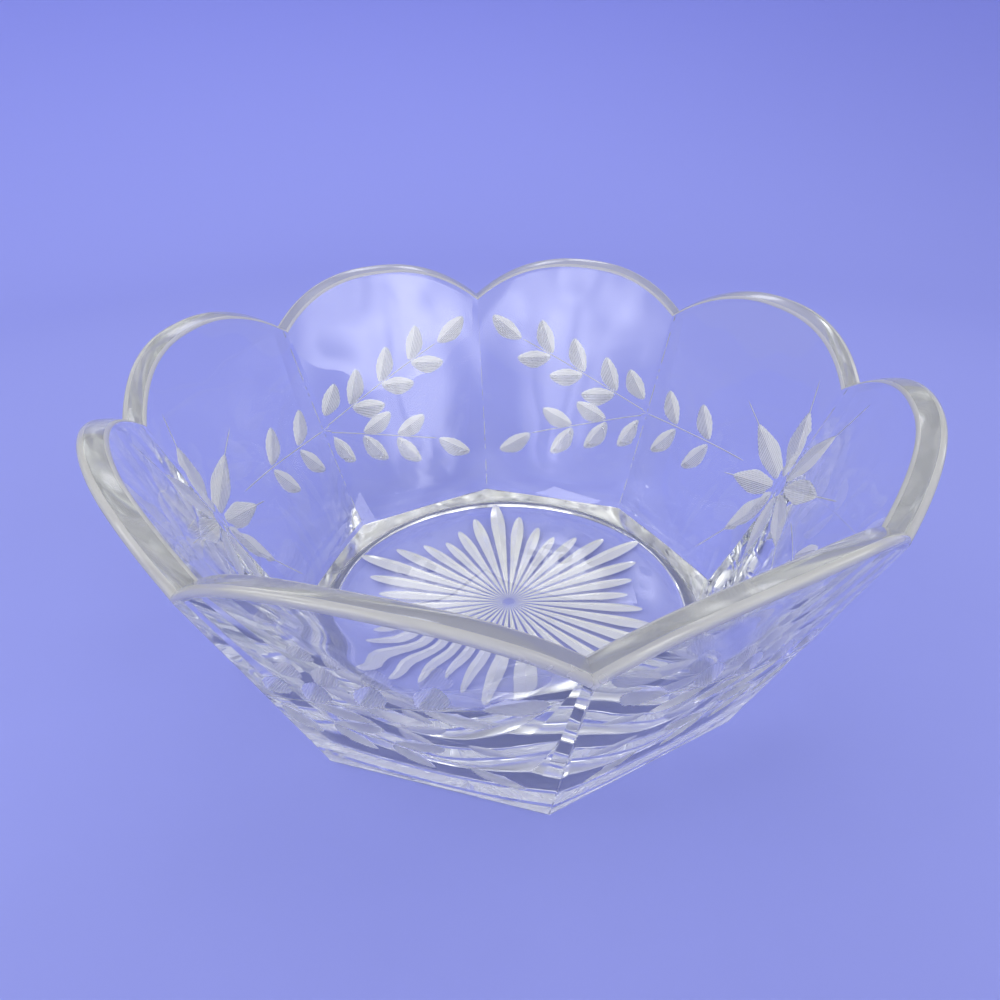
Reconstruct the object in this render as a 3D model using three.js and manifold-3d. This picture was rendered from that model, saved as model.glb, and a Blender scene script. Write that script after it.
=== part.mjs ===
// An octagonal serving bowl of thick pressed glass: eight flat panels that lean outwards and end in
// arches, a round inside, and a star of mitre cuts in the recess under the base.
// Millimetres, +Z up. The origin is the centre of the face that the bowl stands on, and the corners
// between the panels lie on the X and Y axes and halfway between them.

import * as THREE from 'three';
import { ConvexGeometry } from 'three/addons/geometries/ConvexGeometry.js';
import { mergeVertices } from 'three/addons/utils/BufferGeometryUtils.js';
import Module from 'manifold-3d';

// Plan of the outside, measured from the axis to the corners of the octagon
const SIDES = 8;
const RIM_CORNER_RADIUS = 107.6;
const BASE_CORNER_RADIUS = 79.4;
const RIM_BOW = 3.9;

// Heights of the outside
const BEVEL_HEIGHT = 1.6;
const BEVEL_WIDTH = 1.2;
const NOTCH_HEIGHT = 77.7;
const ARCH_RISE = 14.6;
const ARCH_POWER = 2.32;

// Rim and inside. The rim's face falls inwards, more in the middle of a panel than at the notches.
const WALL = 6;
const RIM_FALL = 3.5;
const NOTCH_FALL = 2;
const RIM_DOME = 0.4;
const FLOOR_RADIUS = 68;
const FLOOR_HEIGHT = 7.5;
// How far the bend between the inside wall and the floor reaches up the wall and in over the floor
const BEND_UP_WALL = 70;
const BEND_OVER_FLOOR = 11;

// Recess under the base
const RECESS_RADIUS = 61.2;
const RECESS_DEPTH = 1.8;
const RECESS_SLOPE = 0.7;

// Star of mitre cuts: the lengths run from a long ray to the next one and repeat round the star.
// A ray widens evenly to its widest place, a share of its length, and has a half-oval end.
const RAY_LENGTHS = [60, 51, 45, 41, 45, 51];
const LONG_RAYS = 6;
const STAR_TURN = THREE.MathUtils.degToRad(-2);
const RAY_START = 1.5;
const RAY_WIDEST = 0.74;
const RAY_HALF_WIDTH_PER_LENGTH = 0.046;
const RAY_SLOPE = 0.7;
const CUT_MARGIN = 0.05;

// Steps of the mesh
const PANEL_STEPS = 14;
const OUTER_ROWS = 5;
const RIM_STEPS = 4;
const INNER_ROWS = 3;
const BEND_STEPS = 12;
const RAY_END_STEPS = 4;

const HALF_TURN = Math.PI / SIDES;
const WALL_LEAN = Math.atan2(
  (RIM_CORNER_RADIUS - BASE_CORNER_RADIUS) * Math.cos(HALF_TURN),
  NOTCH_HEIGHT - BEVEL_HEIGHT,
);

// A point of one panel is held as its distance out from the axis, its distance along the panel from
// the panel's middle, and its height. Across is -1 at one corner of the panel and 1 at the other.

function onCircle(radius, height, across) {
  const angle = Math.atan(across * Math.tan(HALF_TURN));
  return { out: radius * Math.cos(angle), along: radius * Math.sin(angle), up: height };
}

function onOctagon(cornerRadius, height, across) {
  return {
    out: cornerRadius * Math.cos(HALF_TURN),
    along: across * cornerRadius * Math.sin(HALF_TURN),
    up: height,
  };
}

// Moves a point square to its panel, so that neighbouring panels still meet on a mitre
function inset(point, inwards, upwards, across) {
  return {
    out: point.out - inwards,
    along: point.along - across * inwards * Math.tan(HALF_TURN),
    up: point.up + upwards,
  };
}

function between(from, to, share) {
  return {
    out: THREE.MathUtils.lerp(from.out, to.out, share),
    along: THREE.MathUtils.lerp(from.along, to.along, share),
    up: THREE.MathUtils.lerp(from.up, to.up, share),
  };
}

function archHeight(across) {
  return NOTCH_HEIGHT + ARCH_RISE * (1 - Math.abs(across) ** ARCH_POWER);
}

// The outside leans out in a straight line, and each panel bows a little more towards the rim
function outerWall(across, share) {
  const height = THREE.MathUtils.lerp(BEVEL_HEIGHT, archHeight(across), share);
  const climb = (height - BEVEL_HEIGHT) / (NOTCH_HEIGHT - BEVEL_HEIGHT);
  const cornerRadius = THREE.MathUtils.lerp(BASE_CORNER_RADIUS, RIM_CORNER_RADIUS, climb);
  const point = onOctagon(cornerRadius, height, across);
  point.out += RIM_BOW * climb * (1 - across * across);
  return point;
}

// The rim's face, from its outside edge (share 0) to its inside edge (share 1). It is slightly domed.
function rimFace(across, share) {
  const fall = THREE.MathUtils.lerp(RIM_FALL, NOTCH_FALL, across * across) * share;
  const rise = RIM_DOME * 4 * share * (1 - share) - fall;
  const inwards = WALL * share;
  return inset(
    outerWall(across, 1),
    inwards * Math.cos(WALL_LEAN) - rise * Math.sin(WALL_LEAN),
    inwards * Math.sin(WALL_LEAN) + rise * Math.cos(WALL_LEAN),
    across,
  );
}

// The inside is ruled from the rim's octagon down to the round edge of the floor
function innerWall(across, share) {
  return between(rimFace(across, 1), onCircle(FLOOR_RADIUS, FLOOR_HEIGHT, across), share);
}

// The long bend from the inside wall to the floor, which makes the glass thicker lower down
function bend(across, share) {
  const top = rimFace(across, 1);
  const corner = onCircle(FLOOR_RADIUS, FLOOR_HEIGHT, across);
  const wallShare = 1 - BEND_UP_WALL / Math.hypot(top.out - corner.out, top.up - corner.up);
  const start = innerWall(across, wallShare);
  const end = onCircle(FLOOR_RADIUS - BEND_OVER_FLOOR, FLOOR_HEIGHT, across);
  return between(between(start, corner, share), between(corner, end, share), share);
}

// One closed ring of vertices round the bowl, from a function that places a point of one panel
function ring(place) {
  const points = [];
  for (let side = 0; side < SIDES; side++) {
    const facing = HALF_TURN * (2 * side + 1);
    for (let step = 0; step < PANEL_STEPS; step++) {
      const across = (2 * step) / PANEL_STEPS - 1;
      const { out, along, up } = place(across);
      points.push(new THREE.Vector3(
        out * Math.cos(facing) - along * Math.sin(facing),
        out * Math.sin(facing) + along * Math.cos(facing),
        up,
      ));
    }
  }
  return points;
}

function bowlRings() {
  const rings = [
    ring((across) => onCircle(RECESS_RADIUS - RECESS_SLOPE, RECESS_DEPTH, across)),
    ring((across) => onCircle(RECESS_RADIUS, 0, across)),
    ring((across) => onOctagon(BASE_CORNER_RADIUS - BEVEL_WIDTH, 0, across)),
  ];
  for (let row = 0; row < OUTER_ROWS; row++) {
    rings.push(ring((across) => outerWall(across, row / OUTER_ROWS)));
  }
  for (let step = 0; step <= RIM_STEPS; step++) {
    rings.push(ring((across) => rimFace(across, step / RIM_STEPS)));
  }
  for (let row = 1; row < INNER_ROWS; row++) {
    rings.push(ring((across) => between(rimFace(across, 1), bend(across, 0), row / INNER_ROWS)));
  }
  for (let step = 0; step <= BEND_STEPS; step++) {
    rings.push(ring((across) => bend(across, step / BEND_STEPS)));
  }
  return rings;
}

// Joins neighbouring rings with quads, and closes the first and last ring with fans
function loft(rings, bottomHeight, topHeight) {
  const count = rings[0].length;
  const points = rings.flat();
  const bottom = points.push(new THREE.Vector3(0, 0, bottomHeight)) - 1;
  const top = points.push(new THREE.Vector3(0, 0, topHeight)) - 1;
  const last = (rings.length - 1) * count;
  const index = [];
  for (let i = 0; i < count; i++) {
    const next = (i + 1) % count;
    for (let row = 0; row < rings.length - 1; row++) {
      const here = row * count;
      const above = here + count;
      index.push(here + i, here + next, above + next);
      index.push(here + i, above + next, above + i);
    }
    index.push(bottom, next, i);
    index.push(top, last + i, last + next);
  }
  const geometry = new THREE.BufferGeometry().setFromPoints(points);
  geometry.setIndex(index);
  return geometry;
}

// One mitre cut along +X: a V groove that is pointed at the star's centre, deepest where it is
// widest, and ends in a half oval. It starts just below the recess's ceiling, so that it cuts clean.
function rayCutter(length) {
  const fullHalfWidth = length * RAY_HALF_WIDTH_PER_LENGTH;
  const widest = THREE.MathUtils.lerp(RAY_START, length, RAY_WIDEST);
  const stations = [{ x: RAY_START, halfWidth: 0 }];
  for (let step = 0; step <= RAY_END_STEPS; step++) {
    const turn = (Math.PI / 2) * (step / RAY_END_STEPS);
    stations.push({
      x: widest + (length - widest) * Math.sin(turn),
      halfWidth: fullHalfWidth * Math.cos(turn),
    });
  }
  const points = stations.flatMap(({ x, halfWidth }) => [
    new THREE.Vector3(x, 0, RECESS_DEPTH + halfWidth * RAY_SLOPE),
    new THREE.Vector3(x, halfWidth, RECESS_DEPTH - CUT_MARGIN),
    new THREE.Vector3(x, -halfWidth, RECESS_DEPTH - CUT_MARGIN),
  ]);
  return new ConvexGeometry(points);
}

function toSolid(wasm, geometry) {
  const bare = geometry.clone();
  bare.deleteAttribute('normal');
  bare.deleteAttribute('uv');
  const merged = mergeVertices(bare);
  return new wasm.Manifold(new wasm.Mesh({
    numProp: 3,
    vertProperties: new Float32Array(merged.getAttribute('position').array),
    triVerts: new Uint32Array(merged.getIndex().array),
  }));
}

function toGeometry(solid) {
  const mesh = solid.getMesh();
  const geometry = new THREE.BufferGeometry();
  geometry.setAttribute('position', new THREE.BufferAttribute(mesh.vertProperties, 3));
  geometry.setIndex(new THREE.BufferAttribute(mesh.triVerts, 1));
  geometry.computeVertexNormals();
  return geometry;
}

function cutStar(wasm, blank) {
  const rays = RAY_LENGTHS.length * LONG_RAYS;
  let solid = blank;
  for (let ray = 0; ray < rays; ray++) {
    const cutter = rayCutter(RAY_LENGTHS[ray % RAY_LENGTHS.length]);
    cutter.rotateZ(Math.PI / 2 + STAR_TURN + (2 * Math.PI * ray) / rays);
    solid = solid.subtract(toSolid(wasm, cutter));
  }
  return solid;
}

async function makeBowl() {
  const wasm = await Module();
  wasm.setup();
  const blank = toSolid(wasm, loft(bowlRings(), RECESS_DEPTH, FLOOR_HEIGHT));
  const glass = new THREE.MeshStandardMaterial({
    color: 0xe4ebea,
    roughness: 0.04,
    metalness: 0,
    transparent: true,
    opacity: 0.35,
  });
  const mesh = new THREE.Mesh(toGeometry(cutStar(wasm, blank)), glass);
  mesh.name = 'bowl';
  return mesh;
}

const part = new THREE.Group();
part.add(await makeBowl());

export default part;
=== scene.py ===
"""The looks of an octagonal glass serving bowl: one closed piece of pressed glass, finely meshed, with
wheel-engraved leaf sprays and flowers on the outside and a star of mitre cuts under the base."""

import math

import bmesh
import bpy
import numpy as np
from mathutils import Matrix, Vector
from mathutils.geometry import delaunay_2d_cdt


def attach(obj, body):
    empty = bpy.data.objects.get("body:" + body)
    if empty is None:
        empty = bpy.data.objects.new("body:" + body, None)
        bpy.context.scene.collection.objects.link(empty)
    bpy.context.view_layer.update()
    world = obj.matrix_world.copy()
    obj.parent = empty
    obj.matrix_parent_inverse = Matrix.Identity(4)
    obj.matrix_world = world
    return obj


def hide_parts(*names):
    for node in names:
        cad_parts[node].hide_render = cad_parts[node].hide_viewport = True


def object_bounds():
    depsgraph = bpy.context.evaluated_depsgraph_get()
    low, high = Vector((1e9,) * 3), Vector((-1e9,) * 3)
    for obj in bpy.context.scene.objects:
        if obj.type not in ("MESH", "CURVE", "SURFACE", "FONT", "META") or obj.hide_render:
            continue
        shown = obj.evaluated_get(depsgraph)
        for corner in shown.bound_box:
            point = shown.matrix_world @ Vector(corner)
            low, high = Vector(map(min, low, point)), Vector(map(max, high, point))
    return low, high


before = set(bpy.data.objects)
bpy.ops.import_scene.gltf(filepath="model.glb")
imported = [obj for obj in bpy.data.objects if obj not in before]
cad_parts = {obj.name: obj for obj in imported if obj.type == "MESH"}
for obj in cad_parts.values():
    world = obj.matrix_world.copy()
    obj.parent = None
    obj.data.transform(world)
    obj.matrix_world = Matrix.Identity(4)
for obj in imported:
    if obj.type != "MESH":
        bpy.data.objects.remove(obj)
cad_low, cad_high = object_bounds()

# Form of the bowl, in millimetres, with the names that the solid's source uses
SIDES = 8
RIM_CORNER_RADIUS = 107.6
BASE_CORNER_RADIUS = 79.4
RIM_BOW = 3.9
BEVEL_HEIGHT = 1.6
BEVEL_WIDTH = 1.2
NOTCH_HEIGHT = 77.7
ARCH_RISE = 14.6
ARCH_POWER = 2.32
WALL = 6.0
RIM_FALL = 3.5
NOTCH_FALL = 2.0
RIM_DOME = 0.4
FLOOR_RADIUS = 68.0
FLOOR_HEIGHT = 7.5
BEND_UP_WALL = 70.0
BEND_OVER_FLOOR = 11.0
RECESS_RADIUS = 61.2
RECESS_DEPTH = 1.8
RECESS_SLOPE = 0.7
RAY_LENGTHS = (60.0, 51.0, 45.0, 41.0, 45.0, 51.0)
LONG_RAYS = 6
STAR_TURN = math.radians(-2)
RAY_START = 1.5
RAY_WIDEST = 0.74
RAY_HALF_WIDTH_PER_LENGTH = 0.046
RAY_SLOPE = 0.7

HALF_TURN = math.pi / SIDES
WALL_LEAN = math.atan2((RIM_CORNER_RADIUS - BASE_CORNER_RADIUS) * math.cos(HALF_TURN),
                       NOTCH_HEIGHT - BEVEL_HEIGHT)
# How far a corner leans aside in the flat picture of its panel
CORNER_SLANT = math.atan((RIM_CORNER_RADIUS - BASE_CORNER_RADIUS) * math.sin(HALF_TURN)
                         * math.cos(WALL_LEAN) / (NOTCH_HEIGHT - BEVEL_HEIGHT))
BASE_HALF_SIDE = BASE_CORNER_RADIUS * math.sin(HALF_TURN)

# Softness of pressed glass: melted corners with a broken line of wear and painted highlight, rounded rim
# edges, faint waves
MELT_RADIUS = 0.5
MELT_WIDTH = MELT_RADIUS * math.tan(HALF_TURN)
MELT_FADE = 4.0
WEAR_AND_HIGHLIGHT_TURNS = (0.31, 0.83, 1.9)
WEAR_AND_HIGHLIGHT_FROM = -0.4
OUTER_EDGE_ROUND = 2.0
INNER_EDGE_ROUND = 0.6
WAVE_SEED = 7
WAVES = 14
WAVE_LENGTHS = (15.0, 36.0)
WAVE_HEIGHT = 0.01

# Fineness of the mesh. The rim's rows go round its outer edge, over its face and round its inner edge.
PANEL_STEPS = 48
RIM_ROWS = (6, 10, 5)
INNER_ROWS = 8
BEND_STEPS = 26
FLOOR_RINGS = 8
FOOT_ROWS = 3
SIDE_STEPS = 32
MELT_STEPS = 59
MELT_STRIPS = (0.5, 1.0)
GRID = 3.4
GRID_REACH = 16
GRID_CLEARANCE = 0.66
GRID_FROM_SIDE = 1.0
GRID_FROM_RIM = 1.2
SIDE_CLEARANCE = 0.5
RAY_STATIONS = 6
RAY_END_STATIONS = 10

# Steps between which a normal is taken: as a share of a patch, and in millimetres on a panel
PATCH_NUDGE = 0.002
NUDGE = 0.02

# Nearness, in millimetres: of points that are welded, of points on a corner, and in a triangulation.
# Heights on a corner are rounded to these digits, and nothing is divided by less than the last value.
WELD = 0.002
ON_LINE = 1e-6
TRIANGULATION = 1e-5
DIGITS = 7
TINY = 1e-12

# Wheel cutting. A blade is a leaf or a petal, with a comb of fine grooves along it.
COMB_PITCH = 0.62
COMB_DEPTH = 0.22
BLADE_DEPTH = 0.5
BLADE_TAPER = 0.46
BLADE_ROUNDNESS = 1.9
BLADE_SIDE_END = 0.995
SERRATION = 0.55
RUN_OUT = 1.3
LINE_STEP = 2.4
LINE_END_STEP = 0.4
SHORTEST_CUT = 1.2
LEAF_LENGTH = 14.2
LEAF_WIDTH = 7.4
LEAF_LEAN = 0.36
LEAF_BLUNTNESS = 0.5
LEAF_GAP = 1.0
TIP_LEAF_LONGER = 1.2
HAIR_WIDTH = 0.42
HAIR_DEPTH = 0.14
HAIR_END = 0.05

# Places are in millimetres up the panel's slope and along a stem, and headings are in degrees.
# Where the stems cross a corner, and where the flower sits on one
CROSSING = 39.5
FLOWER = 41.5
# The two leaves where the spray's branches part: direction and distance of a leaf's start from there,
# the leaf's heading, and how much longer than the others it is
PARTING_LEAVES = ((60, 6.2, 56, -1), (-35, 5, -59, -0.5))
PETAL_TURN = math.radians(24)
PETAL_START = 3.4
PETAL_WIDTH = 8.8
PETAL_LEAN = 0.47
PETAL_BLUNTNESS = 0.2
# Distances from the flower's middle, one for each petal and for the hair-line beyond it
PETAL_ENDS = (27, 26.5, 27.5, 27, 26, 25.5, 27.5, 23.5)
HAIR_ENDS = (37, 36.5, 42, 41, 36, 34, 42, 28)
HAIR_OVERLAP = 3
# The stem's start, by its direction from the flower's middle and how far it is inside a petal's end,
# and its leaf pairs
STEM_DIRECTION = 2
STEM_OVERLAP = 6
STEM_PAIRS = (17.8, 34.5)
STEM_SPREAD = (50, 57)

# Kinds of face, in the order of the materials
# One kind is a lighter copy of the engraved glass for the blades' narrow sides: a painted highlight
PLAIN, CUT, PAINTED_LIGHT_CUT, STAR, RIM, EDGE, FOOT = range(7)


# Form

def mix(a, b, share):
    return a + (b - a) * share


def smooth(x):
    x = np.clip(x, 0, 1)
    return x * x * (3 - 2 * x)


def unit(vectors):
    return vectors / np.maximum(np.linalg.norm(vectors, axis=-1, keepdims=True), TINY)


def on_circle(radius, height, across):
    angle = np.arctan(across * math.tan(HALF_TURN))
    return np.stack([radius * np.cos(angle), radius * np.sin(angle), height + 0 * angle], -1)


def on_octagon(corner_radius, height, across):
    corner_radius = corner_radius + 0 * across
    return np.stack([corner_radius * math.cos(HALF_TURN),
                     across * corner_radius * math.sin(HALF_TURN),
                     height + 0 * across], -1)


def inset(point, inwards, upwards, across):
    """Moves points square to their panel, so that neighbouring panels still meet on a mitre."""
    inwards = inwards + 0 * across
    return point + np.stack([-inwards, -across * inwards * math.tan(HALF_TURN), upwards + 0 * inwards], -1)


def arch_height(across):
    return NOTCH_HEIGHT + ARCH_RISE * (1 - np.abs(across) ** ARCH_POWER)


def outer_wall(across, share):
    height = mix(BEVEL_HEIGHT, arch_height(across), share)
    climb = (height - BEVEL_HEIGHT) / (NOTCH_HEIGHT - BEVEL_HEIGHT)
    point = on_octagon(mix(BASE_CORNER_RADIUS, RIM_CORNER_RADIUS, climb), height, across)
    point[..., 0] += RIM_BOW * climb * (1 - across ** 2)
    return point


def rim_face(across, share):
    """The rim's face, from its outside edge (share 0) to its inside edge (share 1). It is slightly domed."""
    rise = RIM_DOME * 4 * share * (1 - share) - mix(RIM_FALL, NOTCH_FALL, across ** 2) * share
    inwards = WALL * share
    return inset(outer_wall(across, 1), inwards * math.cos(WALL_LEAN) - rise * math.sin(WALL_LEAN),
                 inwards * math.sin(WALL_LEAN) + rise * math.cos(WALL_LEAN), across)


def under_edge(across):
    """Where the outside of a panel turns into the rounding of its top edge."""
    outer = rim_face(across, 0)
    foot = outer_wall(across, 0 * across)
    rise = outer - foot
    return outer - rise * (OUTER_EDGE_ROUND / np.linalg.norm(rise, axis=-1, keepdims=True))


def inner_top(across):
    """Where the inside of the wall starts, under the rounding of the rim's inner edge."""
    inner = rim_face(across, 1)
    down = on_circle(FLOOR_RADIUS, FLOOR_HEIGHT, across) - inner
    return inner + down * (INNER_EDGE_ROUND / np.linalg.norm(down, axis=-1, keepdims=True))


def bent(start, corner, end, share):
    """A bend from start to end that heads for the corner."""
    return mix(mix(start, corner, share), mix(corner, end, share), share)


def rim(across, place):
    """The rim: place runs to 1 round its outer edge, to 2 along its face and to 3 round its inner edge."""
    first, last = OUTER_EDGE_ROUND / WALL, 1 - INNER_EDGE_ROUND / WALL
    middle = rim_face(across, mix(first, last, np.clip(place - 1, 0, 1)))
    place = (place + 0 * across)[..., None]
    start = bent(under_edge(across), rim_face(across, 0), rim_face(across, first), np.clip(place, 0, 1))
    end = bent(rim_face(across, last), rim_face(across, 1), inner_top(across), np.clip(place - 2, 0, 1))
    return np.where(place < 1, start, np.where(place < 2, middle, end))


def bend_start(across):
    top, corner = rim_face(across, 1), on_circle(FLOOR_RADIUS, FLOOR_HEIGHT, across)
    share = 1 - BEND_UP_WALL / np.hypot(top[..., 0] - corner[..., 0], top[..., 2] - corner[..., 2])
    return mix(top, corner, share[..., None])


def inner_wall(across, share):
    return mix(inner_top(across), bend_start(across), np.asarray(share)[..., None])


def bend(across, share):
    share = np.asarray(share)[..., None]
    corner = on_circle(FLOOR_RADIUS, FLOOR_HEIGHT, across)
    end = on_circle(FLOOR_RADIUS - BEND_OVER_FLOOR, FLOOR_HEIGHT, across)
    return bent(bend_start(across), corner, end, share)


def inner_floor(across, share):
    return on_circle((FLOOR_RADIUS - BEND_OVER_FLOOR) * (1 - share), FLOOR_HEIGHT, across)


def bevel(across, share):
    share = np.asarray(share)[..., None]
    edge = on_octagon(BASE_CORNER_RADIUS - BEVEL_WIDTH, 0, across)
    return mix(edge, outer_wall(across, 0 * across), share)


def foot(across, share):
    share = np.asarray(share)[..., None]
    edge = on_octagon(BASE_CORNER_RADIUS - BEVEL_WIDTH, 0, across)
    return mix(on_circle(RECESS_RADIUS, 0, across), edge, share)


def recess_wall(across, share):
    return on_circle(RECESS_RADIUS - RECESS_SLOPE * (1 - share), RECESS_DEPTH * (1 - share), across)


def half_side(y):
    """Half the width of the outside panel, at y up its slope."""
    return BASE_HALF_SIDE + y * math.tan(CORNER_SLANT)


def panel_top(across):
    """How far up its slope the outside panel reaches, to where its top edge starts to round."""
    return (under_edge(across)[..., 2] - BEVEL_HEIGHT) / math.cos(WALL_LEAN)


def panel_point(x, y, inwards):
    """A point of the outside from the panel's flat picture: x along it and y up its slope."""
    height = BEVEL_HEIGHT + y * math.cos(WALL_LEAN)
    climb = (height - BEVEL_HEIGHT) / (NOTCH_HEIGHT - BEVEL_HEIGHT)
    across = x / half_side(y)
    point = on_octagon(mix(BASE_CORNER_RADIUS, RIM_CORNER_RADIUS, climb), height, across)
    point[..., 0] += RIM_BOW * climb * (1 - across ** 2)
    edge = (half_side(y) - np.abs(x)) * math.cos(CORNER_SLANT)
    top = float(panel_top(np.array(1.0)))
    melt = np.maximum(0, MELT_WIDTH - edge) ** 2 / (2 * MELT_RADIUS)
    melt = melt * smooth(y / MELT_FADE) * smooth((top - y) / MELT_FADE)
    inwards = inwards + melt
    return inset(point, inwards * math.cos(WALL_LEAN), inwards * math.sin(WALL_LEAN), across)


# Faint waves
wave_draw = np.random.default_rng(WAVE_SEED)
wave_way = wave_draw.normal(size=(WAVES, 3))
wave_long = wave_draw.uniform(*WAVE_LENGTHS, WAVES)
wave_way *= 2 * math.pi / (np.linalg.norm(wave_way, axis=1) * wave_long)[:, None]
wave_phase = wave_draw.uniform(0, 2 * math.pi, (WAVES, 2))


def to_world(side, mirrored, point):
    """From one panel's out, along and up to the bowl's own x, y and z, with the faint waves added."""
    facing = HALF_TURN * (2 * side + 1)
    out, along, up = point[..., 0], point[..., 1] * (-1 if mirrored else 1), point[..., 2]
    place = np.stack([out * math.cos(facing) - along * math.sin(facing),
                      out * math.sin(facing) + along * math.cos(facing), up], -1)
    phase = place @ wave_way.T
    aside = WAVE_HEIGHT * np.sin(phase + wave_phase[:, 0]).sum(-1)
    upwards = WAVE_HEIGHT * np.sin(phase + wave_phase[:, 1]).sum(-1)
    radius = np.hypot(place[..., 0], place[..., 1])
    lift = smooth((place[..., 2] - RECESS_DEPTH) / (FLOOR_HEIGHT - RECESS_DEPTH))
    aside = aside * lift * smooth(radius / FLOOR_RADIUS) / np.maximum(radius, NUDGE)
    return place + np.stack([place[..., 0] * aside, place[..., 1] * aside, upwards * lift], -1)


# Mesh

class Skin:
    """Collects faces with a normal for each of their corners, and welds them into one closed mesh."""

    def __init__(self):
        self.points, self.faces, self.normals, self.kinds = [], [], [], []
        self.count = 0

    def add(self, points, faces, normals, kinds):
        """Normals are for each corner of each face, in order."""
        self.points.append(points)
        self.faces += [tuple(int(i) + self.count for i in face) for face in faces]
        self.normals.append(normals)
        self.kinds += list(kinds)
        self.count += len(points)

    def to_object(self, name, scale, materials):
        mesh = bpy.data.meshes.new(name)
        mesh.from_pydata((np.concatenate(self.points) * scale).tolist(), [], self.faces)
        for material in materials:
            mesh.materials.append(material)
        mesh.polygons.foreach_set("material_index", self.kinds)
        aim = mesh.attributes.new("aim", "FLOAT_VECTOR", "CORNER")
        aim.data.foreach_set("vector", np.concatenate(self.normals).astype(np.float32).ravel())
        work = bmesh.new()
        work.from_mesh(mesh)
        bmesh.ops.remove_doubles(work, verts=work.verts, dist=WELD * scale)
        work.to_mesh(mesh)
        work.free()
        normals = np.zeros(len(mesh.loops) * 3, np.float32)
        mesh.attributes["aim"].data.foreach_get("vector", normals)
        mesh.attributes.remove(mesh.attributes["aim"])
        mesh.polygons.foreach_set("use_smooth", [True] * len(mesh.polygons))
        mesh.normals_split_custom_set(normals.reshape(-1, 3).tolist())
        made = bpy.data.objects.new(name, mesh)
        bpy.context.scene.collection.objects.link(made)
        return made


def normals_of(place, a, b, step_a, step_b):
    """Normals of a surface from small steps along its two directions."""
    along_a = place(a + step_a, b) - place(a - step_a, b)
    along_b = place(a, b + step_b) - place(a, b - step_b)
    return unit(np.cross(along_a, along_b))


def add_patch(skin, form, rows, kind=PLAIN):
    """One band of the bowl, all the way round. Form places points from across and a row's value."""
    across = np.linspace(-1, 1, PANEL_STEPS + 1)
    grid_across, grid_row = np.meshgrid(across, rows)
    width = PANEL_STEPS + 1
    quads = []
    for row in range(len(rows) - 1):
        for i in range(PANEL_STEPS):
            here = row * width + i
            quads.append((here, here + 1, here + width + 1, here + width))
    for side in range(SIDES):
        def place(a, b):
            return to_world(side, False, form(a, b))
        points = place(grid_across.ravel(), grid_row.ravel())
        reach = (rows[-1] - rows[0]) * PATCH_NUDGE
        normals = normals_of(place, grid_across.ravel(), grid_row.ravel(), PATCH_NUDGE, reach)
        skin.add(points, quads, normals[np.array(quads)].reshape(-1, 3), [kind] * len(quads))


def joined(count, line):
    """The edges of a line whose first point comes after this many points."""
    return [(count + i, count + i + 1) for i in range(len(line) - 1)]


def cdt(points, edges):
    """Triangles between the points that keep the edges: a constrained Delaunay triangulation."""
    verts, _, faces, *_ = delaunay_2d_cdt([Vector(p) for p in points], edges, [], 1, TRIANGULATION, False)
    flat = np.array([tuple(v) for v in verts])
    faces = np.array(faces)
    a, b, c = flat[faces[:, 0]], flat[faces[:, 1]], flat[faces[:, 2]]
    turned = (b[:, 0] - a[:, 0]) * (c[:, 1] - a[:, 1]) - (b[:, 1] - a[:, 1]) * (c[:, 0] - a[:, 0])
    faces[turned < 0] = faces[turned < 0][:, ::-1]
    return flat, faces


# Engraving

class Blade:
    """A leaf or a petal: fine grooves side by side along its axis, on both sides of a deeper midrib."""

    def __init__(self, origin, heading, start, length, width, hand, lean, bluntness):
        self.origin = np.array(origin, float)
        self.way = np.array([math.cos(heading), math.sin(heading)])
        self.aside = hand * np.array([-math.sin(heading), math.cos(heading)])
        self.start, self.length = start, length
        self.sides = (width * lean, width * (1 - lean))
        self.bluntness = bluntness

    def local(self, points):
        away = points - self.origin
        return away @ self.way, away @ self.aside

    def ends(self, b):
        """Where the blade starts and ends on a line b beside its axis, and the share of its width."""
        share = np.abs(b) / np.where(b > 0, self.sides[0], self.sides[1])
        share = np.minimum(share, 1)
        taper = BLADE_TAPER * (self.length - self.start)
        low = self.start + taper * share ** BLADE_ROUNDNESS
        high = self.length - taper * share ** (1 + 2 * self.bluntness)
        return low, high, share

    def inside(self, points):
        """Distance inside the grooves' ends, negative outside, and the rest that the depth needs."""
        a, b = self.local(points)
        low, high, share = self.ends(b)
        comb = 1 - 2 * np.abs(b / COMB_PITCH - np.round(b / COMB_PITCH))
        within = np.minimum(a - low, high - a) - SERRATION * (1 - comb)
        within = np.where(share >= 1, -1, within)
        return within, share, comb

    def painted_light_side(self, points):
        """Whether points are on the narrow side, where the grooves are cut steeper and the cut glass is
        painted lighter: a painted highlight.
        """
        return (self.inside(points)[0] > 0) & (self.local(points)[1] > 0)

    def depth(self, points):
        within, share, comb = self.inside(points)
        run = smooth(within / RUN_OUT)
        return run * (BLADE_DEPTH * (1 - share) + COMB_DEPTH * comb)

    def lines(self):
        """The valleys and ridges of the grooves, and the jagged outline that joins their ends."""
        found = []
        half = COMB_PITCH / 2
        count = int(max(self.sides) / half)
        for step in range(-count, count + 1):
            b = step * half
            low, high, share = (float(v) for v in self.ends(np.array(b)))
            if step % 2:
                low, high = low + SERRATION, high - SERRATION
            if share >= BLADE_SIDE_END or high - low < SHORTEST_CUT:
                continue
            steps = max(2, round((high - low) / LINE_STEP))
            run = np.linspace(low, high, steps + 1)
            run = np.sort(np.append(run, [low + LINE_END_STEP, high - LINE_END_STEP]))
            found.append(self.origin + run[:, None] * self.way + b * self.aside)
        starts, ends = [line[0] for line in found], [line[-1] for line in found[::-1]]
        return found + [np.array(starts + ends + starts[:1])]


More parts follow.
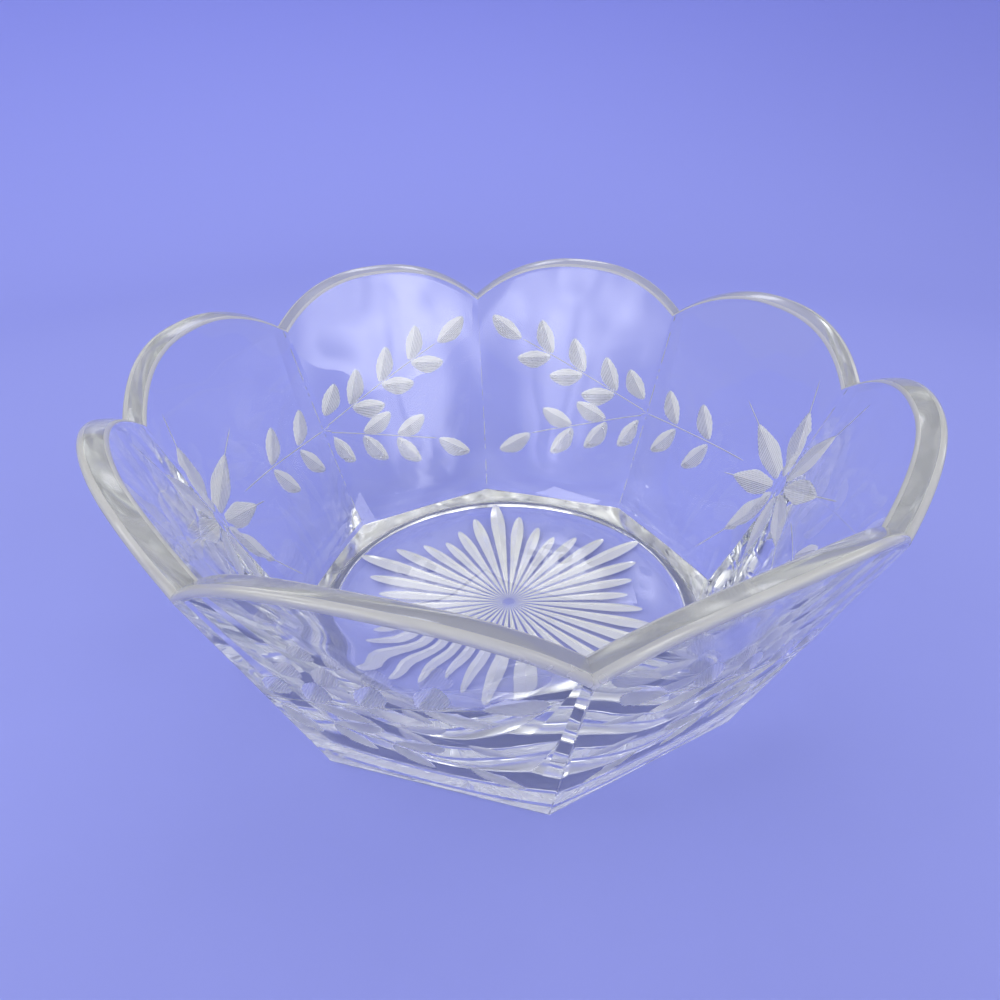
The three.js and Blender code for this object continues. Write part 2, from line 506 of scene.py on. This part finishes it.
class Hair:
    """A hair-line: one thin V groove that fades at both ends."""

    def __init__(self, start, end):
        self.start, self.end = np.array(start, float), np.array(end, float)
        self.long = np.linalg.norm(self.end - self.start)
        self.way = (self.end - self.start) / self.long
        self.aside = np.array([-self.way[1], self.way[0]])

    def half_width(self, a):
        return HAIR_WIDTH / 2 * smooth(np.minimum(a, self.long - a) / RUN_OUT + HAIR_END)

    def inside(self, points):
        away = points - self.start
        a, b = away @ self.way, away @ self.aside
        half = self.half_width(a)
        within = np.where((a > 0) & (a < self.long), half - np.abs(b), -1)
        return within, half, a

    def depth(self, points):
        within, half, _ = self.inside(points)
        return HAIR_DEPTH * np.clip(within / np.maximum(half, TINY), 0, 1) * half / (HAIR_WIDTH / 2)

    def lines(self):
        run = np.linspace(0, self.long, max(4, round(self.long / LINE_STEP)) + 1)
        middle = self.start + run[:, None] * self.way
        aside = self.half_width(run)[:, None] * self.aside
        aside[[0, -1]] = 0
        return [middle, middle + aside, middle - aside]


class Dish:
    """A small polished oval dish, cut across a corner."""
    SEMI = (2.9, 3.9)
    DEPTH = 0.75
    RINGS = (0.25, 0.5, 0.75, 1.0)
    TURNS = 32

    def __init__(self, centre):
        self.centre = np.array(centre, float)
        self.across = np.array([math.cos(CORNER_SLANT), math.sin(CORNER_SLANT)])
        self.along = np.array([-math.sin(CORNER_SLANT), math.cos(CORNER_SLANT)])

    def reach(self, points):
        away = points - self.centre
        return (away @ self.across / self.SEMI[0]) ** 2 + (away @ self.along / self.SEMI[1]) ** 2

    def inside(self, points):
        return 1 - self.reach(points), None, None

    def depth(self, points):
        return self.DEPTH * np.clip(1 - self.reach(points), 0, 1)

    def lines(self):
        turn = np.linspace(0, 2 * math.pi, self.TURNS + 1)
        rings = []
        for share in self.RINGS:
            ring = (self.centre + share * self.SEMI[0] * np.cos(turn)[:, None] * self.across
                    + share * self.SEMI[1] * np.sin(turn)[:, None] * self.along)
            ring[-1] = ring[0]
            rings.append(ring)
        return rings


def from_left_corner(points):
    """How far points are inside the panel's left corner."""
    normal = np.array([math.cos(CORNER_SLANT), math.sin(CORNER_SLANT)])
    return points @ normal + BASE_HALF_SIDE * math.cos(CORNER_SLANT)


def clip_left(line):
    """Cuts a line off where it leaves the panel over its left corner. Gives the pieces that stay."""
    level = from_left_corner(line)
    pieces, piece = [], []
    for i in range(len(line)):
        if i and (level[i] > 0) != (level[i - 1] > 0):
            share = level[i - 1] / (level[i - 1] - level[i])
            piece.append(mix(line[i - 1], line[i], share))
            if level[i] <= 0:
                pieces.append(piece)
                piece = []
        if level[i] > 0:
            piece.append(line[i])
    return [np.array(p) for p in pieces + [piece] if len(p) > 1]


def corner_place(y, hand):
    """The point of a panel's left (-1) or right (1) corner, at y up the slope."""
    return (hand * half_side(y), y)


def along(place, heading, far):
    turn = math.radians(heading)
    return (place[0] + far * math.cos(turn), place[1] + far * math.sin(turn))


def leaf(place, heading, longer=0.0):
    """A leaf that heads this way, in degrees. Its narrow side, painted lighter as a highlight, faces up."""
    return Blade(place, math.radians(heading), 0, LEAF_LENGTH + longer, LEAF_WIDTH,
                 hand=1, lean=LEAF_LEAN, bluntness=LEAF_BLUNTNESS)


def leaf_pair(place, heading, spread):
    """Two leaves from one place of a stem, turned up and down from its heading."""
    turns = (heading + spread[0], heading - spread[1])
    return [leaf(along(place, turn, LEAF_GAP), turn) for turn in turns]


def branch(start, heading, pairs, tip, spread, tip_turn):
    """A stem with leaf pairs at these distances and one leaf at its tip."""
    shapes = [Hair(start, along(start, heading, tip))]
    for far in pairs:
        shapes += leaf_pair(along(start, heading, far), heading, spread)
    shapes.append(leaf(along(start, heading, tip), heading + tip_turn, TIP_LEAF_LONGER))
    return shapes


def spray_panel():
    """The spray's two branches, and the two leaves where they part."""
    start = corner_place(CROSSING, -1)
    shapes = branch(start, heading=23, pairs=(15.3, 30.6, 45.9), tip=61, spread=(42, 30), tip_turn=11)
    shapes += branch(start, heading=-16, pairs=(17, 31.5), tip=50.5, spread=(37, 39), tip_turn=-18)
    for direction, far, heading, longer in PARTING_LEAVES:
        shapes.append(leaf(along(start, direction, far), heading, longer))
    return shapes


def flower_panel(hand):
    """The spray's first leaves and half a flower, on the back (1) or the front (-1) side of its corner."""
    junction = corner_place(CROSSING, 1)
    centre = corner_place(FLOWER * math.cos(CORNER_SLANT), -1)
    stem_start = along(centre, STEM_DIRECTION, PETAL_ENDS[0] - STEM_OVERLAP)
    heading = math.degrees(math.atan2(junction[1] - stem_start[1], junction[0] - stem_start[0]))
    shapes = [Hair(stem_start, junction)]
    for far in STEM_PAIRS:
        shapes += leaf_pair(along(stem_start, heading, far), heading, STEM_SPREAD)
    for petal, (petal_end, hair_end) in enumerate(zip(PETAL_ENDS, HAIR_ENDS)):
        turn = PETAL_TURN + 2 * math.pi * petal / len(PETAL_ENDS)
        turn = (turn if hand > 0 else math.pi - turn) + CORNER_SLANT
        shapes.append(Blade(centre, turn, PETAL_START, petal_end, PETAL_WIDTH,
                            hand=hand, lean=PETAL_LEAN, bluntness=PETAL_BLUNTNESS))
        heading = math.degrees(turn)
        shapes.append(Hair(along(centre, heading, petal_end - HAIR_OVERLAP),
                           along(centre, heading, hair_end)))
    return shapes + [Dish(centre)]


def panel_outline(ends):
    """The points round a panel. Its left corner also takes the ends of the cuts that cross it."""
    on_corner = ends[np.abs(from_left_corner(ends)) < ON_LINE][:, 1]
    plain = np.linspace(0, panel_top(np.array(1.0)), SIDE_STEPS + 1)[1:-1]
    left = [y for y in plain if not len(on_corner) or np.abs(on_corner - y).min() > SIDE_CLEARANCE]
    left = np.unique(np.round(np.append(left, np.append(on_corner, CROSSING)), DIGITS))
    left = left[np.append(True, np.diff(left) > WELD)]
    right = np.unique(np.append(plain[np.abs(plain - CROSSING) > SIDE_CLEARANCE], CROSSING))
    across = np.linspace(-1, 1, PANEL_STEPS + 1)
    arch_y = panel_top(across)
    arch = np.stack([across * half_side(arch_y), arch_y], -1)
    bottom = np.stack([across * BASE_HALF_SIDE, 0 * across], -1)
    return np.concatenate([bottom, [corner_place(y, 1) for y in right],
                           arch[::-1], [corner_place(y, -1) for y in left[::-1]]])


def panel_fill(ends):
    """Points inside a panel, clear of its cuts: a grid, and strips that keep the corners' shading even."""
    melt_y = np.linspace(0, panel_top(np.array(1.0)), MELT_STEPS + 1)[1:-1]
    corner_width = MELT_WIDTH / math.cos(CORNER_SLANT)
    melts = [np.stack([hand * (half_side(melt_y) - share * corner_width), melt_y], -1)
             for hand in (-1, 1) for share in MELT_STRIPS]
    rows = np.arange(GRID / 2, panel_top(np.array(0.0)), GRID * math.sqrt(3) / 2)
    grid = np.array([(x + (GRID / 2 if i % 2 else 0), y) for i, y in enumerate(rows)
                     for x in np.arange(-GRID * GRID_REACH, GRID * GRID_REACH, GRID)])
    room = half_side(grid[:, 1]) - np.abs(grid[:, 0])
    under = panel_top(np.clip(grid[:, 0] / half_side(grid[:, 1]), -1, 1))
    grid = grid[(room > MELT_WIDTH + GRID_FROM_SIDE) & (grid[:, 1] < under - GRID_FROM_RIM)]
    fill = np.concatenate([grid] + melts)
    gap = np.sqrt(((fill[:, None] - ends[None]) ** 2).sum(-1)).min(1)
    return fill[gap > GRID_CLEARANCE]


def on_worn_and_highlighted_arris(points):
    """Whether points are on the melted edge of their panel, where it is worn and painted with a cream
    highlight: a broken line.
    """
    from_edge = (half_side(points[:, 1]) - np.abs(points[:, 0])) * math.cos(CORNER_SLANT)
    wear_and_highlight = sum(np.sin(turns * points[:, 1]) for turns in WEAR_AND_HIGHLIGHT_TURNS)
    return (from_edge < MELT_WIDTH) & (wear_and_highlight > WEAR_AND_HIGHLIGHT_FROM)


def panel_mesh(shapes):
    """A panel's flat triangles with its engraving: points, cut depths, faces, and what each face is."""
    lines = [piece for shape in shapes for line in shape.lines() for piece in clip_left(line)]
    ends = np.concatenate(lines)
    outline = panel_outline(ends)
    points, edges = [], []
    for line in [np.append(outline, outline[:1], 0)] + lines:
        edges += joined(len(points), line)
        points += line.tolist()
    flat, faces = cdt(points + panel_fill(ends).tolist(), edges)
    # No triangle lies flat along a corner
    x, y = flat[faces][..., 0], flat[faces][..., 1]
    beside = [np.abs(x - hand * half_side(y)).max(1) for hand in (-1, 1)]
    faces = faces[np.minimum(*beside) > WELD]
    depth = np.max([shape.depth(flat) for shape in shapes], 0)
    middle = flat[faces].mean(1)
    frosted, dished, painted_light_side = np.zeros((3, len(faces)), bool)
    for shape in shapes:
        cut = shape.inside(middle)[0] > 0
        if isinstance(shape, Dish):
            dished |= cut
        else:
            frosted |= cut
        if isinstance(shape, Blade):
            painted_light_side |= shape.painted_light_side(middle)
    # The blades' narrow sides take a lighter copy of the engraved glass, a painted highlight; worn arrises
    # take the cream edge glass, which is wear with a painted highlight
    kinds = np.where(painted_light_side, PAINTED_LIGHT_CUT, np.where(frosted, CUT, np.where(on_worn_and_highlighted_arris(middle), EDGE, PLAIN)))
    kinds[dished] = PLAIN
    return flat, depth, faces, frosted & ~dished, dished, kinds, shapes


def add_panel(skin, side, mirrored, made):
    flat, depth, faces, frosted, dished, kinds, shapes = made
    dishes = [shape for shape in shapes if isinstance(shape, Dish)]

    def place(x, y, with_dish=False):
        at = np.stack([x, y], -1)
        cut = np.max([d.depth(at) for d in dishes], 0) if with_dish else 0 * x
        return to_world(side, mirrored, panel_point(x, y, cut))

    x, y = flat.T
    points = to_world(side, mirrored, panel_point(x, y, depth))
    flip = -1 if mirrored else 1
    smooth_normals = flip * normals_of(place, x, y, NUDGE, NUDGE)
    if mirrored:
        faces = faces[:, ::-1]
    a, b, c = points[faces[:, 0]], points[faces[:, 1]], points[faces[:, 2]]
    flat_normals = unit(np.cross(b - a, c - a))
    normals = smooth_normals[faces]
    normals[frosted] = flat_normals[frosted][:, None]
    if dishes:
        dish_normals = flip * normals_of(lambda p, q: place(p, q, True), x, y, NUDGE, NUDGE)
        normals[dished] = dish_normals[faces[dished]]
    skin.add(points, faces, normals.reshape(-1, 3), kinds)


def ray_profile(length):
    """Stations along a ray and its half width at each."""
    widest = mix(RAY_START, length, RAY_WIDEST)
    turn = np.linspace(0, math.pi / 2, RAY_END_STATIONS)
    share = np.linspace(0, 1, RAY_STATIONS + 1)[:-1]
    run = np.append(np.linspace(RAY_START, widest, RAY_STATIONS + 1)[:-1],
                    widest + (length - widest) * np.sin(turn))
    half = np.append(share, np.cos(turn)) * length * RAY_HALF_WIDTH_PER_LENGTH
    half[-1] = 0
    return run, half


def star_mesh():
    """The recess's ceiling in plan, with its rays: points, heights, faces and which faces are cut."""
    across = np.linspace(-1, 1, PANEL_STEPS + 1)[:-1]
    round_edge = on_circle(RECESS_RADIUS - RECESS_SLOPE, RECESS_DEPTH, across)
    points = np.concatenate([to_world(side, False, round_edge)[..., :2] for side in range(SIDES)]).tolist()
    edges = [(i, (i + 1) % len(points)) for i in range(len(points))]
    heights = [0.0] * len(points)
    rays = len(RAY_LENGTHS) * LONG_RAYS
    cuts = []
    for ray in range(rays):
        turn = math.pi / 2 + STAR_TURN + 2 * math.pi * ray / rays
        way = np.array([math.cos(turn), math.sin(turn)])
        aside = np.array([-way[1], way[0]])
        run, half = ray_profile(RAY_LENGTHS[ray % len(RAY_LENGTHS)])
        for hand in (-1, 0, 1):
            line = run[:, None] * way + (hand * half)[:, None] * aside
            edges += joined(len(points), line)
            points += line.tolist()
            heights += (half * RAY_SLOPE if hand == 0 else 0 * half).tolist()
        cuts.append((way, aside, run, half))
    flat, faces = cdt(points, edges)
    given = np.array(points)
    nearest = [np.argmin(((given - point) ** 2).sum(1)) for point in flat]
    height = RECESS_DEPTH + np.array(heights)[nearest]
    middle = flat[faces].mean(1)
    cut = np.zeros(len(faces), bool)
    for way, aside, run, half in cuts:
        cut |= np.abs(middle @ aside) < np.interp(middle @ way, run, half, left=0, right=0)
    return flat, height, faces, cut


def add_star(skin):
    flat, height, faces, cut = star_mesh()
    points = np.column_stack([flat, height])
    faces = faces[:, ::-1]
    a, b, c = points[faces[:, 0]], points[faces[:, 1]], points[faces[:, 2]]
    normals = np.repeat(unit(np.cross(b - a, c - a))[:, None], 3, 1)
    skin.add(points, faces, normals.reshape(-1, 3), np.where(cut, STAR, PLAIN))


# Materials

GLASS_IOR = 1.52
GLASS_DEPTH_TINT = (0.89, 0.9, 0.89, 1)
GLASS_DEPTH_DENSITY = 12.0
# The share of the lamps' light that passes straight through each face of the glass
GLASS_SHADOW = (0.88, 0.89, 0.91, 1)
ROUGH_SCALE = 60.0
ROUGH_DETAIL = 4.0
ROUGH_RANGE = (0.35, 0.7)
GRAIN_DETAIL = 3.0
GRAIN_HEIGHT = 0.0002
WHITE = (1.0, 1.0, 1.0, 1)
# The cream of a painted highlight, on the worn edges
HIGHLIGHT_CREAM = (1.0, 0.985, 0.94, 1)
# In the order of the kinds of face: the name, the lowest and the highest roughness, the share of light
# that passes, the tint, and how strong and how fine the grain is
GLASSES = (
    ("pressed glass", (0.0, 0.02), 1.0, WHITE, 0.0, 400.0),
    ("engraved glass", (0.3, 0.45), 0.6, WHITE, 0.35, 1500.0),
    # A lighter copy of the engraved glass for the blades' narrow sides: a painted highlight, not a different
    # cut
    ("engraved glass painted lighter", (0.35, 0.5), 0.2, WHITE, 0.35, 1500.0),
    ("mitre cut glass", (0.04, 0.14), 0.3, WHITE, 0.05, 900.0),
    ("worn rim glass", (0.03, 0.14), 0.76, WHITE, 0.0, 900.0),
    # Frosted by wear, and cream and lighter as a painted highlight
    ("ground edge glass with painted highlight", (0.05, 0.28), 0.6, HIGHLIGHT_CREAM, 0.0, 900.0),
    ("worn foot glass", (0.04, 0.2), 0.97, WHITE, 0.0, 1500.0),
)


def node(tree, kind, **values):
    made = tree.nodes.new(kind)
    for key, value in values.items():
        if key in made.inputs:
            made.inputs[key].default_value = value
        else:
            setattr(made, key, value)
    return made


def noise(tree, place, scale, detail):
    made = node(tree, "ShaderNodeTexNoise", Scale=scale, Detail=detail)
    tree.links.new(place, made.inputs["Vector"])
    return made.outputs["Fac"]


def scaled(tree, value, ranges, interpolation="SMOOTHSTEP"):
    """Maps a value from one range to another, held within it."""
    made = node(tree, "ShaderNodeMapRange", interpolation_type=interpolation)
    for socket, bound in zip(("From Min", "From Max", "To Min", "To Max"), ranges):
        made.inputs[socket].default_value = bound
    tree.links.new(value, made.inputs["Value"])
    return made.outputs["Result"]


def combined(tree, kind, first, second):
    made = node(tree, "ShaderNodeMath", operation=kind)
    tree.links.new(first, made.inputs[0])
    tree.links.new(second, made.inputs[1])
    return made.outputs["Value"]


def new_material(name):
    material = bpy.data.materials.new(name)
    material.use_nodes = True
    material.node_tree.nodes.clear()
    return material, material.node_tree


def glass_material(name, roughness, transmission, tint, bump, grain):
    """Clear or cut glass. Its roughness changes in soft patches, over a fine grain."""
    material, tree = new_material(name)
    place = node(tree, "ShaderNodeTexCoord").outputs["Object"]
    patches = noise(tree, place, ROUGH_SCALE, ROUGH_DETAIL)
    rough = scaled(tree, patches, (*ROUGH_RANGE, *roughness), "LINEAR")
    relief = node(tree, "ShaderNodeBump", Strength=bump, Distance=GRAIN_HEIGHT)
    tree.links.new(noise(tree, place, grain, GRAIN_DETAIL), relief.inputs["Height"])
    shader = node(tree, "ShaderNodeBsdfPrincipled", IOR=GLASS_IOR)
    shader.inputs["Base Color"].default_value = tint
    shader.inputs["Transmission Weight"].default_value = transmission
    tree.links.new(rough, shader.inputs["Roughness"])
    tree.links.new(relief.outputs["Normal"], shader.inputs["Normal"])
    clear = node(tree, "ShaderNodeBsdfTransparent", Color=GLASS_SHADOW)
    lamp_ray = node(tree, "ShaderNodeLightPath")
    either = node(tree, "ShaderNodeMixShader")
    tree.links.new(lamp_ray.outputs["Is Shadow Ray"], either.inputs["Fac"])
    tree.links.new(shader.outputs["BSDF"], either.inputs[1])
    tree.links.new(clear.outputs["BSDF"], either.inputs[2])
    output = node(tree, "ShaderNodeOutputMaterial")
    tree.links.new(either.outputs["Shader"], output.inputs["Surface"])
    depth = node(tree, "ShaderNodeVolumeAbsorption", Color=GLASS_DEPTH_TINT, Density=GLASS_DEPTH_DENSITY)
    tree.links.new(depth.outputs["Volume"], output.inputs["Volume"])
    return material


# Bowl

skin = Skin()
# The rim's rounded edges take the frosted cream edge glass: wear with a painted highlight
for part, (steps, kind) in enumerate(zip(RIM_ROWS, (EDGE, RIM, EDGE))):
    add_patch(skin, rim, np.linspace(part, part + 1, steps + 1), kind)
add_patch(skin, inner_wall, np.linspace(0, 1, INNER_ROWS + 1))
add_patch(skin, bend, np.linspace(0, 1, BEND_STEPS + 1))
floor_rings = np.linspace(0, 1, FLOOR_RINGS + 1)[:-1]
add_patch(skin, inner_floor, floor_rings)
add_patch(skin, bevel, np.array([0.0, 1.0]))
add_patch(skin, foot, np.linspace(0, 1, FOOT_ROWS + 1), FOOT)
add_patch(skin, recess_wall, np.array([0.0, 1.0]))
# The middle of the floor
across = np.linspace(-1, 1, PANEL_STEPS + 1)
for side in range(SIDES):
    ring = to_world(side, False, inner_floor(across, floor_rings[-1]))
    hub = to_world(side, False, np.array([[0.0, 0.0, FLOOR_HEIGHT]]))
    fan = [(i, i + 1, PANEL_STEPS + 1) for i in range(PANEL_STEPS)]
    up = np.tile([0.0, 0.0, 1.0], (3 * PANEL_STEPS, 1))
    skin.add(np.concatenate([ring, hub]), fan, up, [PLAIN] * PANEL_STEPS)
add_star(skin)
spray = panel_mesh(spray_panel())
flower_back = panel_mesh(flower_panel(1))
flower_front = panel_mesh(flower_panel(-1))
# Round the bowl from +X, two panels at a time, each time followed by their mirror images
panels = (flower_back, spray, spray, flower_back, flower_front, spray, spray, flower_front)
for side, made in enumerate(panels):
    add_panel(skin, side, side % 4 > 1, made)

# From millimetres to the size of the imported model: no face reaches outside the model's box
every = np.concatenate(skin.points)
lowest, highest = every.min(0), every.max(0)
scale = min([cad_high[i] / highest[i] for i in range(3)] + [cad_low[i] / lowest[i] for i in range(2)])

bowl = skin.to_object("glass_bowl", scale, [glass_material(*glass) for glass in GLASSES])
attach(bowl, "root")
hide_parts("bowl")

# Stage and light, in metres, degrees and watts

PAPER = (0.30, 0.33, 0.79, 1)
PAPER_ROUGHNESS = 0.85
STAGE_RINGS = (0.15, 0.3)
STAGE_FLAT = 0.45
STAGE_BEND = 0.22
STAGE_BEND_STEPS = 12
STAGE_WALL = 0.02
STAGE_DROP = 0.0002
STAGE_STEPS = 96

# Softboxes: name, place, size and power
SOFTBOXES = (
    ("key", (-0.55, -0.35, 1.1), (0.5, 0.4), 2.6),
    ("side", (1.1, 0.1, 0.7), (0.3, 0.5), 1.3),
)
SOFTBOX_AIM = (0, 0, 0.04)

# The room's light by the height of a direction, from the walls to the ceiling, with patches overhead
ROOM_COLOUR = (0.97, 0.98, 1.0, 1)
WALL_LIGHT = 0.34
CEILING_LIGHT = 0.95
CEILING_HEIGHTS = (0.15, 0.7)
OVERHEAD = (0.3, 0.55)
ROOM_GRAIN = 2.6
ROOM_DETAIL = 1.0
ROOM_RANGE = (0.35, 0.65)
ROOM_CHANGE = (-0.5, 0.4)
# Windows of the room: azimuth and elevation, how far they reach in degrees, and their strength
WINDOWS = (
    (-50, 24, (6, 17), 4.0),
    (-122, 26, (4, 14), 3.5),
    (-84, 22, (2, 9), 2.5),
    (-47, 9, (2, 8), 2.5),
    (92, 38, (2, 7), 2.5),
    (76, 34, (2, 7), 3.0),
)
WINDOW_GRAIN = 6.0
WINDOW_DETAIL = 2.0
WINDOW_RANGE = (0.4, 0.58)
WINDOW_CHANGE = (0.12, 1.0)


def make_stage():
    """A round floor that bends up into a wall, all in one pale paper."""
    work = bmesh.new()
    turn = np.linspace(0, math.pi / 2, STAGE_BEND_STEPS + 1)
    radii = np.concatenate([STAGE_RINGS, STAGE_FLAT + STAGE_BEND * np.sin(turn), [STAGE_FLAT + STAGE_BEND]])
    heights = np.concatenate([[0, 0], STAGE_BEND * (1 - np.cos(turn)), [STAGE_BEND + STAGE_WALL]])
    turns = [2 * math.pi * i / STAGE_STEPS for i in range(STAGE_STEPS)]
    rings = [[work.verts.new((r * math.cos(a), r * math.sin(a), h)) for a in turns]
             for r, h in zip(radii, heights - STAGE_DROP)]
    work.faces.new(rings[0])
    for low, high in zip(rings, rings[1:]):
        for i in range(STAGE_STEPS):
            after = (i + 1) % STAGE_STEPS
            work.faces.new((low[i], high[i], high[after], low[after]))
    mesh = bpy.data.meshes.new("stage")
    bmesh.ops.recalc_face_normals(work, faces=work.faces)
    work.to_mesh(mesh)
    work.free()
    mesh.polygons.foreach_set("use_smooth", [True] * len(mesh.polygons))
    made = bpy.data.objects.new("stage", mesh)
    bpy.context.scene.collection.objects.link(made)
    material, tree = new_material("pale paper")
    shader = node(tree, "ShaderNodeBsdfPrincipled", Roughness=PAPER_ROUGHNESS)
    shader.inputs["Base Color"].default_value = PAPER
    output = node(tree, "ShaderNodeOutputMaterial")
    tree.links.new(shader.outputs["BSDF"], output.inputs["Surface"])
    mesh.materials.append(material)


def softbox(name, place, size, power):
    lamp = bpy.data.lights.new(name, "AREA")
    lamp.shape = "RECTANGLE"
    lamp.size, lamp.size_y = size
    lamp.energy = power
    made = bpy.data.objects.new(name, lamp)
    made.location = place
    made.rotation_euler = (Vector(SOFTBOX_AIM) - Vector(place)).to_track_quat("-Z", "Y").to_euler()
    bpy.context.scene.collection.objects.link(made)


def make_world():
    """A room: an unevenly lit ceiling above plain darker walls, with soft bright windows."""
    world = bpy.data.worlds.new("studio")
    world.use_nodes = True
    tree = world.node_tree
    way = node(tree, "ShaderNodeTexCoord").outputs["Generated"]
    axes = node(tree, "ShaderNodeSeparateXYZ")
    tree.links.new(way, axes.inputs["Vector"])
    height = axes.outputs["Z"]
    light = scaled(tree, height, (*CEILING_HEIGHTS, WALL_LIGHT, CEILING_LIGHT))
    patches = scaled(tree, noise(tree, way, ROOM_GRAIN, ROOM_DETAIL), (*ROOM_RANGE, *ROOM_CHANGE))
    overhead = scaled(tree, height, (*OVERHEAD, 0, 1))
    light = combined(tree, "ADD", light, combined(tree, "MULTIPLY", patches, overhead))
    clouds = noise(tree, way, WINDOW_GRAIN, WINDOW_DETAIL)
    unevenness = scaled(tree, clouds, (*WINDOW_RANGE, *WINDOW_CHANGE))
    for azimuth, elevation, (inner, outer), strength in WINDOWS:
        a, e = math.radians(azimuth), math.radians(elevation)
        toward = node(tree, "ShaderNodeVectorMath", operation="DOT_PRODUCT")
        toward.inputs[1].default_value = (math.cos(a) * math.cos(e), math.sin(a) * math.cos(e), math.sin(e))
        tree.links.new(way, toward.inputs[0])
        edge = (math.cos(math.radians(outer)), math.cos(math.radians(inner)), 0, strength)
        glow = scaled(tree, toward.outputs["Value"], edge)
        light = combined(tree, "ADD", light, combined(tree, "MULTIPLY", glow, unevenness))
    background = tree.nodes["Background"]
    background.inputs["Color"].default_value = ROOM_COLOUR
    tree.links.new(light, background.inputs["Strength"])
    bpy.context.scene.world = world


make_stage()
for box in SOFTBOXES:
    softbox(*box)
make_world()

# Camera

CAMERA_PLACE = (-0.02567, -0.19162, 0.16948)
CAMERA_TURN = (57.36, 0.09, -6.80)
CAMERA_LENS = 26.59
CAMERA_SENSOR = 36
CAMERA_CLIP = 0.01
# Light passes through many walls of glass before it reaches the camera
GLASS_BOUNCES = 64
SHADOW_BOUNCES = 32

camera_data = bpy.data.cameras.new("camera")
camera_data.sensor_width = CAMERA_SENSOR
camera_data.lens = CAMERA_LENS
camera_data.clip_start = CAMERA_CLIP
camera = bpy.data.objects.new("camera", camera_data)
camera.location = CAMERA_PLACE
camera.rotation_euler = [math.radians(a) for a in CAMERA_TURN]
bpy.context.scene.collection.objects.link(camera)
bpy.context.scene.camera = camera

scene = bpy.context.scene
scene.view_settings.view_transform = "Standard"
scene.cycles.max_bounces = GLASS_BOUNCES
scene.cycles.transmission_bounces = GLASS_BOUNCES
scene.cycles.glossy_bounces = GLASS_BOUNCES
scene.cycles.transparent_max_bounces = SHADOW_BOUNCES
